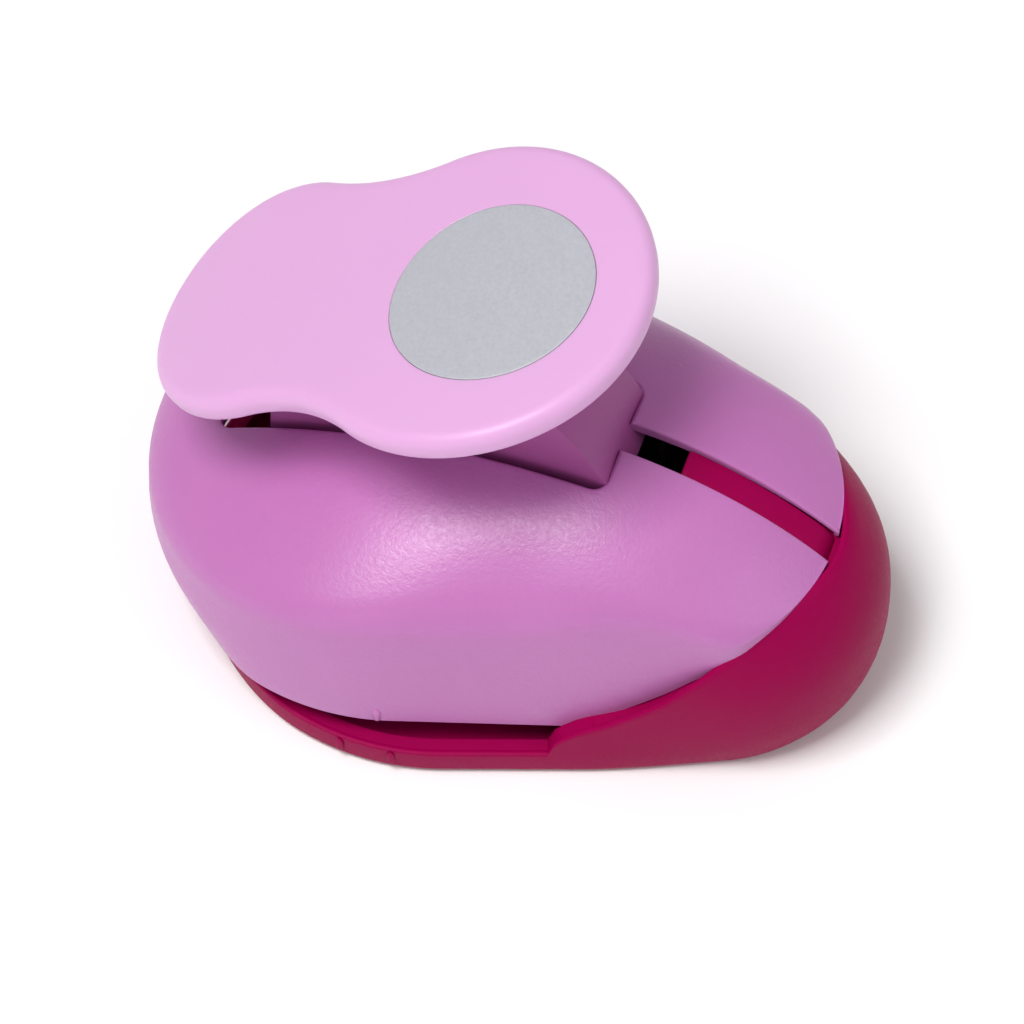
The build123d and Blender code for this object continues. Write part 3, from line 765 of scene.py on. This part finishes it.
# ------------------------------------------------------------------ sub-assemblies
@dataclass
class Cover:
    """The lilac cover: domed top, soft crease, drafted skirt, lever opening and slit.

    Attributes:
        form: Shared curves.
        wall: Wall thickness in millimetres.
        crease_radius: Radius of the soft edge between crown and skirt.
        rim_flare: Radius of the rolled rim of the opening.
        slit_flare: Radius of the rolled rim of the slit.
        edge_round: Height of the rounding of the lower edge.
        crown_centre: X of the point that the crown's rings close in on.
        cut_foot: Height of the foot of the cuts through the crown.
    """

    form: HousingForm = FORM
    wall: float = 1.9
    crease_radius: float = 2.1
    rim_flare: float = 0.55
    slit_flare: float = 0.35
    edge_round: float = 0.22
    crown_centre: float = -2.0
    cut_foot: float = 12.0

    def skin(self, points: np.ndarray, normals: np.ndarray, depth: float, edge_drop: float) -> list[np.ndarray]:
        """Rings of the outer or inner skin from the lower edge to the middle of the crown.

        Args:
            points: Outline of the cover.
            normals: Outward normals of the outline.
            depth: How far this skin lies under the outer one, less at the thin tip.
            edge_drop: Extra height of the first ring over the cover's edge.

        Returns:
            The rings, from the edge upwards.
        """
        form = self.form
        centre = np.array([self.crown_centre, 0.0])
        x = points[:, 0]
        low = form.cover_edge(x) + edge_drop
        crease = form.crown(x * 0.965, points[:, 1] * 0.965)
        under = np.minimum(depth, 0.4 * (crease - low))
        crease = crease - under
        radius = np.minimum(self.crease_radius, (crease - low) * 0.45)
        shoulder = crease - radius
        rings = []
        for share in np.linspace(0.0, 1.0, 15):
            z = low + (shoulder - low) * share
            inset = form.cover_inset(x, z) + under
            rings.append(as_ring(points - normals * inset[:, None], z))
        inset = form.cover_inset(x, crease) + under
        corner = points - normals * inset[:, None]
        to_centre = centre - corner
        heading = to_centre / np.linalg.norm(to_centre, axis=1)[:, None]
        inward = corner + heading * (radius * 1.25)[:, None]
        start = rings[-1]
        control = as_ring(corner, form.crown(corner[:, 0], corner[:, 1]) - under)
        end = as_ring(inward, form.crown(inward[:, 0], inward[:, 1]) - under)
        for share in np.linspace(0.0, 1.0, 9)[1:]:
            rings.append(start * (1 - share) ** 2 + control * 2 * share * (1 - share) + end * share ** 2)
        for share in np.linspace(0.0, 0.92, 32)[1:]:
            plan = inward + (centre - inward) * share
            rings.append(as_ring(plan, form.crown(plan[:, 0], plan[:, 1]) - under - (depth - under) * share))
        return rings

    def build(self, workshop: Workshop) -> list[bpy.types.Object]:
        """Make the cover.

        Args:
            workshop: Source of the finishes.

        Returns:
            The pieces made.
        """
        form = self.form
        points, normals = form.cover.sample(0.7)
        outer = self.skin(points, normals, 0.0, self.edge_round)
        inner = self.skin(points, normals, self.wall, self.edge_round)
        edge = form.cover_edge(points[:, 0])
        foot, foot_in = (as_ring((outer[0] + (inner[0] - outer[0]) * share)[:, :2], edge) for share in (0.15, 0.85))
        piece = rings_to_piece("cover", outer[::-1] + [foot, foot_in] + inner)
        blunt, tip, half = form.opening
        carve(piece, flared_cutter(form, (blunt, -half), (tip, half), 1.5, self.rim_flare, self.cut_foot))
        slit_end = form.base.tip_end_x + 4.5
        carve(piece, flared_cutter(form, (tip - 4.0, -form.slit_half), (slit_end, form.slit_half), 0.4,
                                   self.slit_flare, self.cut_foot))
        carve(piece, box_cutter((26.0, -form.slit_half, self.cut_foot), (slit_end, form.slit_half, 40.0)))
        set_shading(piece, 42.0)
        workshop.dress(piece, Slot.COVER)
        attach(piece, "housing")
        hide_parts("upper_shell")
        return [piece] + [edge_mark("cover_mark", form.cover, -6.2, side, 6.7, 0.34, Slot.COVER, workshop)
                          for side in (-1, 1)]

@dataclass
class Base:
    """The magenta base: low bucket whose tip rises to the cover with a lip and a groove.

    Attributes:
        form: Shared curves.
        wall: Wall thickness in millimetres.
        floor: Floor thickness.
        lip: Width of the lip outside the groove.
        groove: Depth of the groove inside the lip.
        chip_hole: X centre, length and width of the chip hole in the floor.
    """

    form: HousingForm = FORM
    wall: float = 1.8
    floor: float = 2.2
    lip: float = 0.6
    groove: float = 1.1
    chip_hole: tuple[float, float, float] = (-3.2, 13.0, 19.0)

    def build(self, workshop: Workshop) -> list[bpy.types.Object]:
        """Make the base.

        Args:
            workshop: Source of the finishes.

        Returns:
            The pieces made.
        """
        form = self.form
        points, normals = form.base.sample(0.7)
        x = points[:, 0]
        top = form.base_edge(x)
        rings = []
        for inset, z in ((0.8, 0.0), (0.35, 0.22), (0.1, 0.5), (0.0, 0.8)):
            rings.append(as_ring(points - normals * (form.base_inset(x, np.full_like(x, z)) + inset)[:, None],
                                 np.array(z)))
        for share in np.linspace(0.0, 1.0, 18)[1:]:
            z = 0.8 + (top - 0.25 - 0.8) * share
            rings.append(as_ring(points - normals * form.base_inset(x, z)[:, None], z))
        outer = form.base_inset(x, top)
        deep = smooth_step((x - 13.5) / 6.0) * self.groove
        for inset, drop in ((0.07, 0.07), (0.25, 0.0), (self.lip - 0.15, 0.0), (self.lip, 0.12)):
            rings.append(as_ring(points - normals * (outer + inset)[:, None], top - drop))
        rings.append(as_ring(points - normals * (outer + self.lip + 0.05)[:, None], top - 0.12 - deep))
        inner = outer + np.maximum(self.wall, self.lip + 1.6 * smooth_step((x - 12.0) / 10.0) + 0.9)
        rings.append(as_ring(points - normals * inner[:, None], top - 0.12 - deep))
        for share in (0.25, 0.5, 0.75, 1.0):
            z = (top - 0.12 - deep) * (1 - share) + self.floor * share
            rings.append(as_ring(points - normals * (inner + 0.25 * share)[:, None], z))
        piece = rings_to_piece("base", [rings[0] * np.array([0.6, 0.6, 1.0])] + rings
                               + [rings[-1] * np.array([0.6, 0.6, 1.0])])
        x_mid, length, width = self.chip_hole
        plan, out = rounded_rectangle((x_mid - length / 2, -width / 2), (x_mid + length / 2, width / 2), 1.5)
        hole = rings_to_piece("cutter", [as_ring(plan + out * 0.9, np.array(-0.6)), as_ring(plan, np.array(0.3)),
                                         as_ring(plan, np.array(6.0))])
        carve(piece, hole)
        set_shading(piece, 40.0)
        workshop.dress(piece, Slot.BASE)
        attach(piece, "housing")
        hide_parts("base_shell")
        return [piece] + [edge_mark(f"base_mark_{number}", form.base, x_mark, side, 1.5, 0.1, Slot.BASE, workshop)
                          for number, x_mark in enumerate((-9.6, -4.4)) for side in (-1, 1)]


@dataclass
class SlotRib:
    """The magenta rib that fills the slit from the opening's hole to the tip.

    Attributes:
        form: Shared curves.
        start: X of its blunt end in millimetres.
        end: X of its tip end.
        half: Half width.
        sunk: How far its top lies under the crown.
        foot: Height of its foot.
    """

    form: HousingForm = FORM
    start: float = 16.4
    end: float = 31.7
    half: float = 1.5
    sunk: float = 0.55
    foot: float = 14.0

    def build(self, workshop: Workshop) -> list[bpy.types.Object]:
        """Make the rib.

        Args:
            workshop: Source of the finishes.

        Returns:
            The pieces made.
        """
        stations = np.concatenate([[self.start, self.start + 0.12, self.start + 0.35],
                                   np.linspace(self.start + 0.8, self.end - 1.6, 24),
                                   [self.end - 1.0, self.end - 0.5, self.end - 0.2, self.end]])
        droops = {0: 0.35, 1: 0.12, 2: 0.03, len(stations) - 4: 0.2, len(stations) - 3: 0.6,
                  len(stations) - 2: 1.2, len(stations) - 1: 2.4}
        section = [(-1.0, 0.0), (-1.0, -0.3), (-0.93, -0.09), (-0.78, 0.0), (-0.4, 0.05), (0.0, 0.06), (0.4, 0.05),
                   (0.78, 0.0), (0.93, -0.09), (1.0, -0.3), (1.0, 0.0)]
        rings = []
        for index, x in enumerate(stations):
            top = float(self.form.crown(x, 0.0)) - self.sunk - droops.get(index, 0.0)
            foot = self.foot + 9.0 * float(smooth_step(np.array((x - 24.0) / 7.0)))
            foot = min(foot, top - 1.0)
            ring = [(x, side * self.half, top + lift if 0 < place < len(section) - 1 else foot)
                    for place, (side, lift) in enumerate(section)]
            rings.append(np.array(ring))
        piece = rings_to_piece("slot_rib_shown", rings)
        set_shading(piece, 40.0)
        workshop.dress(piece, Slot.BASE)
        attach(piece, "housing")
        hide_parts("slot_rib")
        return [piece]


@dataclass(frozen=True)
class PlateRoll:
    """The cylinder that the thumb plate is rolled on, in millimetres.

    Attributes:
        axis_x: X of the rolling axis.
        axis_z: Z of the rolling axis.
        radius: Radius of the plate's top face.
        tilt: Angle of the plate's zero station, in degrees.
    """

    axis_x: float
    axis_z: float
    radius: float = 95.0
    tilt: float = 19.5

    def place(self, plan: np.ndarray, depth: np.ndarray) -> np.ndarray:
        """Put flat plate points on the roll.

        Args:
            plan: Rows of station along the plate and Y.
            depth: Depth of each point under the top face.

        Returns:
            Rows of X, Y and Z.
        """
        angle = plan[:, 0] / self.radius - math.radians(self.tilt)
        reach = self.radius - np.broadcast_to(depth, len(plan))
        return np.stack([self.axis_x + reach * np.sin(angle), plan[:, 1],
                         self.axis_z + reach * np.cos(angle)], axis=1)


@dataclass
class PressLever:
    """The pink thumb plate with its silver label, on the lilac stem.

    Attributes:
        label_x: X of the label's centre in millimetres.
        label_z: Z of the top face there.
        wide: Radius and station of the wide lobe.
        narrow: Radius and station of the narrow lobe.
        waist_radius: Radius of the hollow arcs between the lobes.
        thickness: Plate thickness.
        top_roll: Radius of the upper rim.
        under_roll: Radius of the lower rim.
        label_radius: Radius of the label.
        stem_rounding: Radius of the stem's rounded edges.
    """

    label_x: float = -3.0
    label_z: float = 50.2
    wide: tuple[float, float] = (17.4, -2.0)
    narrow: tuple[float, float] = (13.5, -25.7)
    waist_radius: float = 19.0
    thickness: float = 2.8
    top_roll: float = 1.35
    under_roll: float = 0.8
    label_radius: float = 10.0
    stem_rounding: float = 0.7
    roll: PlateRoll = field(init=False)

    def __post_init__(self) -> None:
        """Work out the rolling axis from the label's place."""
        tilt = math.radians(PlateRoll.tilt)
        self.roll = PlateRoll(self.label_x + PlateRoll.radius * math.sin(tilt),
                              self.label_z - PlateRoll.radius * math.cos(tilt))

    def hourglass(self, step: float = 0.7) -> tuple[np.ndarray, np.ndarray]:
        """Outline of the plate.

        Args:
            step: Spacing of the points.

        Returns:
            Points and outward normals, anticlockwise from the wide end.
        """
        (wide_r, wide_x), (narrow_r, narrow_x) = self.wide, self.narrow
        spacing = wide_x - narrow_x
        to_wide, to_narrow = wide_r + self.waist_radius, narrow_r + self.waist_radius
        along = (spacing ** 2 + to_narrow ** 2 - to_wide ** 2) / (2.0 * spacing)
        across = math.sqrt(to_narrow ** 2 - along ** 2)
        waist = np.array([narrow_x + along, across])
        wide_end = math.atan2(across, waist[0] - wide_x)
        narrow_start = math.atan2(across, waist[0] - narrow_x)
        pieces = []
        for centre, radius, start, end, sign in (
                ((wide_x, 0.0), wide_r, 0.0, wide_end, 1.0),
                (tuple(waist), self.waist_radius, wide_end - math.pi, narrow_start - math.pi, -1.0),
                ((narrow_x, 0.0), narrow_r, narrow_start, math.pi, 1.0)):
            count = math.ceil(abs(end - start) * radius / step)
            angles = start + (end - start) * np.arange(count) / count
            heading = np.stack([np.cos(angles), np.sin(angles)], axis=1)
            pieces.append((np.array(centre) + heading * radius, heading * sign))
        points = np.concatenate([part[0] for part in pieces] + [[[narrow_x - narrow_r, 0.0]]])
        normals = np.concatenate([part[1] for part in pieces] + [[[-1.0, 0.0]]])
        flip = np.array([1.0, -1.0])
        return (np.concatenate([points, (points[1:-1] * flip)[::-1]]),
                np.concatenate([normals, (normals[1:-1] * flip)[::-1]]))

    def plate(self, workshop: Workshop) -> bpy.types.Object:
        """Make the thumb plate with the shallow seat of its label."""
        points, normals = self.hourglass()
        rings = []

        def field_rings(inset: float, depth: float, shares: np.ndarray) -> list[np.ndarray]:
            """Rings of a broad face between its rim and its middle."""
            rim = points - normals * inset
            spine = np.stack([np.clip(rim[:, 0], self.narrow[1], self.wide[1]), np.zeros(len(rim))], axis=1)
            return [self.roll.place(rim + (spine - rim) * share, np.array(depth)) for share in shares]

        shares = np.linspace(0.0, 0.94, 18)
        rings += field_rings(self.under_roll, self.thickness, shares[:0:-1])
        for angle in np.linspace(0.0, 90.0, 6):
            bend = math.radians(angle)
            inset = self.under_roll * (1.0 - math.sin(bend))
            depth = self.thickness - self.under_roll * (1.0 - math.cos(bend))
            rings.append(self.roll.place(points - normals * inset, np.array(depth)))
        for angle in np.linspace(0.0, 90.0, 9):
            bend = math.radians(angle)
            inset = self.top_roll * (1.0 - math.cos(bend))
            depth = self.top_roll * (1.0 - math.sin(bend))
            rings.append(self.roll.place(points - normals * inset, np.array(depth)))
        rings += field_rings(self.top_roll, 0.0, shares[1:])
        piece = rings_to_piece("thumb_plate", rings, ladder_caps=True)
        around = np.linspace(0.0, 2.0 * math.pi, 97)[:-1]
        circle = np.stack([np.cos(around), np.sin(around)], axis=1)
        seat = self.label_radius + 0.05
        cutter = rings_to_piece("cutter", [self.roll.place(circle * seat * share, np.array(depth))
                                           for share, depth in ((0.3, 0.3), (0.6, 0.3), (0.8, 0.3), (1.0, 0.3),
                                                                (1.0, 0.04), (1.008, -0.02), (1.008, -1.5))])
        carve(piece, cutter)
        set_shading(piece, 35.0)
        workshop.dress(piece, Slot.PLATE)
        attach(piece, "lever")
        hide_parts("lever_plate")
        return piece

    def label(self, workshop: Workshop) -> bpy.types.Object:
        """Make the plain round label with its softly pressed edge."""
        around = np.linspace(0.0, 2.0 * math.pi, 145)[:-1]
        circle = np.stack([np.cos(around), np.sin(around)], axis=1)
        rings = [self.roll.place(circle * self.label_radius * share, np.array(0.3))
                 for share in (0.1, 0.4, 0.7, 0.9, 0.99)]
        profile = ((1.0, 0.2), (1.0, 0.03), (0.998, -0.01), (0.993, -0.03), (0.98, -0.04), (0.95, -0.045))
        rings += [self.roll.place(circle * self.label_radius * share, np.array(depth)) for share, depth in profile]
        rings += [self.roll.place(circle * self.label_radius * share, np.array(-0.045))
                  for share in (0.8, 0.65, 0.5, 0.35, 0.2, 0.08)]
        piece = rings_to_piece("label", rings)
        set_shading(piece, 50.0)
        workshop.dress(piece, Slot.LABEL)
        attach(piece, "lever")
        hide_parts("label_disc")
        return piece

    def stem(self, workshop: Workshop, node: bpy.types.Object) -> bpy.types.Object:
        """Make the stem from the frame's own lever body, with its upright edges rounded.

        Args:
            workshop: Source of the finishes.
            node: The frame's lever body.

        Returns:
            The stem.
        """
        mesh = node.data.copy()
        piece = bpy.data.objects.new("stem", mesh)
        bpy.context.scene.collection.objects.link(piece)
        weld = bmesh.new()
        weld.from_mesh(mesh)
        bmesh.ops.remove_doubles(weld, verts=weld.verts, dist=0.000002)
        bmesh.ops.dissolve_limit(weld, angle_limit=math.radians(1.5), verts=weld.verts, edges=weld.edges)
        weld.to_mesh(mesh)
        weld.free()
        rounding = piece.modifiers.new("rounding", "BEVEL")
        rounding.width = self.stem_rounding * MM
        rounding.segments = 4
        rounding.limit_method = "ANGLE"
        rounding.angle_limit = math.radians(35.0)
        apply_modifiers(piece)
        set_shading(piece, 40.0)
        # Painted shade: the stem takes the cover's lilac darkened for the shadow under the plate.
        workshop.dress(piece, Slot.COVER, workshop.stem_painted_shade)
        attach(piece, "lever")
        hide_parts(node.name)
        return piece

    def build(self, workshop: Workshop, nodes: dict[str, bpy.types.Object]) -> list[bpy.types.Object]:
        """Make the lever.

        Args:
            workshop: Source of the finishes.
            nodes: The frame's nodes by name.

        Returns:
            The pieces made.
        """
        return [self.plate(workshop), self.label(workshop), self.stem(workshop, nodes["lever_stem"])]


@dataclass
class ReturnSprings:
    """The two compression springs that lift the punch.

    Attributes:
        x: X of both springs in millimetres.
        y: Distance of each from the middle.
        bottom: Height of the lowest wire centre.
        top: Height of the highest wire centre.
        radius: Coil radius.
        wire: Wire radius.
        turns: Number of turns.
        seat: Height of the fixed end; not used.
        travel: Greatest stroke of the punch; not used.
    """

    x: float = -2.5
    y: float = 11.3
    bottom: float = 8.3
    top: float = 14.69
    radius: float = 2.0
    wire: float = 0.25
    turns: float = 4.5
    seat: float = 8.0
    travel: float = 5.2

    def build(self, workshop: Workshop) -> list[bpy.types.Object]:
        """Make both springs.

        Args:
            workshop: Source of the finishes.

        Returns:
            The pieces made.
        """
        made = []
        for side, hand in ((-1, "left"), (1, "right")):
            rings = []
            for turn in np.linspace(0.0, self.turns, int(self.turns * 40)):
                angle = 2.0 * math.pi * turn
                out = np.array([math.cos(angle), math.sin(angle), 0.0])
                eased = smooth_step(np.array(turn / self.turns)) * 0.35 + 0.65 * turn / self.turns
                centre = np.array([self.x, side * self.y, self.bottom + (self.top - self.bottom) * float(eased)])
                centre = centre + out * self.radius
                rings.append(np.array([centre + self.wire * (out * math.cos(a) + np.array([0, 0, math.sin(a)]))
                                       for a in np.linspace(0.0, 2.0 * math.pi, 13)[:-1]]))
            node = f"return_spring_{hand}"
            piece = rings_to_piece(f"spring_{hand}", rings)
            workshop.dress(piece, Slot.BRIGHT_STEEL)
            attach(piece, "housing")
            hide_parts(node)
            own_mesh(piece)
            made.append(piece)
        return made


@dataclass
class CuttingSet:
    """The frame's own precise parts, which only need their finish.

    Attributes:
        finishes: Slot of each node that is shown as it is.
    """

    finishes: dict[str, Slot] = field(default_factory=lambda: {
        "guide_frame": Slot.CASTING,
        "die_plate": Slot.TOOL_STEEL,
        "corner_fence": Slot.NYLON,
        "spring_post_left": Slot.BRIGHT_STEEL,
        "spring_post_right": Slot.BRIGHT_STEEL,
        "punch_blade": Slot.TOOL_STEEL,
        "punch_holder": Slot.NYLON,
        "holder_screws": Slot.BRIGHT_STEEL,
        "pivot_pin": Slot.BRIGHT_STEEL,
        "pin_clips": Slot.BRIGHT_STEEL,
        "cam_pin": Slot.BRIGHT_STEEL,
        "plate_screws": Slot.BRIGHT_STEEL,
        "frame_screws": Slot.BRIGHT_STEEL,
        "base_screws": Slot.BRIGHT_STEEL,
        "case_screws": Slot.BRIGHT_STEEL,
    })

    def build(self, workshop: Workshop, nodes: dict[str, bpy.types.Object]) -> list[bpy.types.Object]:
        """Give the nodes their finish.

        Args:
            workshop: Source of the finishes.
            nodes: The frame's nodes by name.

        Returns:
            The nodes dressed.
        """
        dressed = []
        for name, slot in self.finishes.items():
            node = nodes[name]
            node.data.materials.clear()
            node.data.materials.append(workshop.materials[slot])
            dressed.append(node)
        return dressed


@dataclass
class Studio:
    """White table, overhead softbox and the camera.

    Attributes:
        azimuth: Camera azimuth in degrees.
        elevation: Camera elevation in degrees.
        distance: Camera distance in metres.
        target: Point in the middle of the view.
        lens: Focal length for a 36 mm sensor.
    """

    azimuth: float = 19.6
    elevation: float = 60.0
    distance: float = 0.4907
    target: tuple[float, float, float] = (-0.0009, 0.0, 0.011)
    lens: float = 175.8

    def table(self) -> bpy.types.Object:
        """Make the pale table top with a barely uneven paper surface."""
        side = np.linspace(-1.5, 1.5, 25)
        vertices = np.array([(x, y, -0.00002) for y in side for x in side])
        count = len(side)
        faces = [(r * count + c, r * count + c + 1, (r + 1) * count + c + 1, (r + 1) * count + c)
                 for r in range(count - 1) for c in range(count - 1)]
        top = mesh_piece("table_top", vertices, faces)
        nodes = NodeTree("white_table")
        fibres = nodes.noise(700.0, detail=3.0)
        colour = nodes.mix_colours(fibres.outputs["Fac"], (0.97, 0.97, 0.975), (0.98, 0.98, 0.98))
        nodes.link(colour, nodes.shader.inputs["Base Color"])
        nodes.shader.inputs["Roughness"].default_value = 0.7
        nodes.shader.inputs["Specular IOR Level"].default_value = 0.2
        top.data.materials.append(nodes.material)
        top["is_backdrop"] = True
        return top

    def lamp(self, name: str, place: Sequence[float], aim: Sequence[float], size: float, power: float) -> None:
        """Hang a square soft lamp.

        Args:
            name: Name of the lamp.
            place: Position in metres.
            aim: Point it faces.
            size: Side of its square in metres.
            power: Watts.
        """
        data = bpy.data.lights.new(name, "AREA")
        data.shape = "SQUARE"
        data.size = size
        data.energy = power
        lamp = bpy.data.objects.new(name, data)
        bpy.context.scene.collection.objects.link(lamp)
        lamp.location = place
        lamp.rotation_mode = "QUATERNION"
        lamp.rotation_quaternion = (Vector(aim) - Vector(place)).to_track_quat("-Z", "Y")

    def build(self) -> None:
        """Set up the table, the lamps, the surroundings and the camera."""
        self.table()
        self.lamp("softbox_top", (-0.15, -0.19, 0.70), (0.0, 0.0, 0.01), 0.26, 4.1)
        self.lamp("softbox_front", (-0.1, -0.75, 0.16), (0.0, 0.0, 0.02), 0.4, 0.25)
        self.lamp("softbox_right", (0.75, -0.1, 0.5), (0.0, 0.0, 0.02), 0.5, 1.0)
        world = bpy.data.worlds.new("surroundings")
        world.use_nodes = True
        world.node_tree.nodes["Background"].inputs["Color"].default_value = (1.0, 1.0, 1.0, 1.0)
        world.node_tree.nodes["Background"].inputs["Strength"].default_value = 0.37
        bpy.context.scene.world = world
        bpy.context.scene.view_settings.view_transform = "Standard"
        data = bpy.data.cameras.new("camera")
        data.sensor_width = 36.0
        data.lens = self.lens
        data.clip_start, data.clip_end = 0.01, 10.0
        camera = bpy.data.objects.new("camera", data)
        bpy.context.scene.collection.objects.link(camera)
        swing, lift = math.radians(self.azimuth), math.radians(self.elevation)
        back = Vector((math.sin(swing) * math.cos(lift), -math.cos(swing) * math.cos(lift), math.sin(lift)))
        camera.location = Vector(self.target) + back * self.distance
        camera.rotation_mode = "QUATERNION"
        camera.rotation_quaternion = (-back).to_track_quat("-Z", "Y")
        bpy.context.scene.camera = camera


def main() -> None:
    """Load the frame and build every sub-assembly on it."""
    logging.basicConfig(level=logging.INFO, format="%(name)s: %(message)s")
    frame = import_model()
    frame_box = tuple(corner.copy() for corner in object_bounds())
    nodes = frame["nodes"]
    workshop = Workshop()
    Studio().build()
    for label, pieces in (
            ("cover", Cover().build(workshop)),
            ("base", Base().build(workshop)),
            ("slot rib", SlotRib().build(workshop)),
            ("press lever", PressLever().build(workshop, nodes)),
            ("return springs", ReturnSprings().build(workshop)),
            ("cutting set", CuttingSet().build(workshop, nodes))):
        for piece in pieces:
            LOG.info("%s: %s", label, piece.name)


if __name__ == "__main__":
    main()
